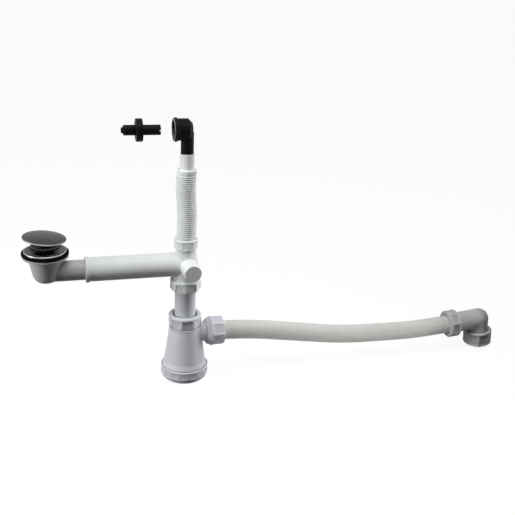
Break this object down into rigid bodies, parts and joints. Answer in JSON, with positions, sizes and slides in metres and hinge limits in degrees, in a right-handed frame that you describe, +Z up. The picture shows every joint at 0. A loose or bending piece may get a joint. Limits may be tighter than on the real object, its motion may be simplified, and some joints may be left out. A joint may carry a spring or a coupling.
{
  "type": "sink waste and trap kit",
  "caption": "Sink waste with pop-up plug, telescopic pipe and tee, corrugated overflow, bottle trap, flexible hose and outlet elbow.",
  "frame": {"origin": "centre of the drain on the sink's surface, under the flange's rim", "axes": "+Z up, +X along the waste pipe from the drain to the tee"},
  "size_m": [0.8344, 0.0854, 0.4392],
  "materials": {
    "graphite_metal": "dark graphite satin coat with polished edges",
    "brass": "turned brass",
    "spring_steel": "bright drawn spring wire",
    "black_rubber": "matte black rubber",
    "white_plastic": "moulded white polypropylene, satin",
    "trap_plastic": "moulded white polypropylene with a cool cast, satin",
    "outlet_plastic": "moulded light grey polypropylene, satin",
    "hose_plastic": "finely ribbed light grey hose",
    "black_plastic": "moulded matte black plastic"
  },
  "bodies": {
    "drain": {"drain_flange": "graphite_metal", "click_cartridge": "brass", "click_spring": "spring_steel", "sink_seal": "black_rubber", "waste_body": "white_plastic"},
    "plug": {"plug_cap": "graphite_metal", "plug_stem": "graphite_metal", "plug_seal": "black_rubber"},
    "tee": {"tee_pipe": "white_plastic", "telescope_seal": "black_rubber", "tee_nut": "trap_plastic", "tee_washer": "black_rubber", "overflow_nut": "white_plastic", "overflow_washer": "black_rubber", "overflow_hose": "white_plastic"},
    "tail": {"tail_tube": "trap_plastic"},
    "overflow_head": {"overflow_elbow": "black_plastic", "overflow_seal": "black_rubber"},
    "nipple": {"overflow_nipple": "black_plastic"},
    "trap": {"trap_inlet_nut": "trap_plastic", "trap_inlet_washer": "black_rubber", "trap_body": "trap_plastic", "outlet_nut": "trap_plastic", "outlet_washer": "black_rubber", "waste_hose": "hose_plastic"},
    "cup": {"trap_cup": "trap_plastic", "cup_gasket": "black_rubber"},
    "outlet": {"hose_end_nut": "outlet_plastic", "hose_end_washer": "black_rubber", "outlet_elbow": "outlet_plastic", "socket_nut": "outlet_plastic", "socket_washer": "black_rubber"}
  },
  "joints": [
    {"name": "plug_click", "type": "slide", "parent": "drain", "child": "plug", "axis": [0, 0, 1], "range_m": [-0.006, 0], "stiffness_N_per_m": 300, "springref_m": 0.012, "deforming": ["click_spring"]},
    {"name": "telescope", "type": "slide", "parent": "drain", "child": "tee", "axis": [1, 0, 0], "range_m": [-0.02, 0.04]},
    {"name": "tail_swivel", "type": "hinge", "parent": "tee", "child": "tail", "pos_m": [0.216, 0, -0.072], "axis": [0, 0, 1], "continuous": true},
    {"name": "trap_height", "type": "slide", "parent": "tail", "child": "trap", "axis": [0, 0, 1], "range_m": [-0.02, 0.02]},
    {"name": "cup_unscrew", "type": "slide", "parent": "trap", "child": "cup", "axis": [0, 0, -1], "range_m": [0, 0.04]},
    {"name": "outlet_swivel", "type": "hinge", "parent": "trap", "child": "outlet", "pos_m": [0.70804, 0, -0.18441], "axis": [0.9945, 0, 0.1045], "continuous": true},
    {"name": "overflow_swivel", "type": "hinge", "parent": "tee", "child": "overflow_head", "pos_m": [0.216, 0, 0.135], "axis": [0, 0, 1], "continuous": true},
    {"name": "nipple_insert", "type": "slide", "parent": "overflow_head", "child": "nipple", "axis": [1, 0, 0], "range_m": [0, 0.0435]}
  ]
}
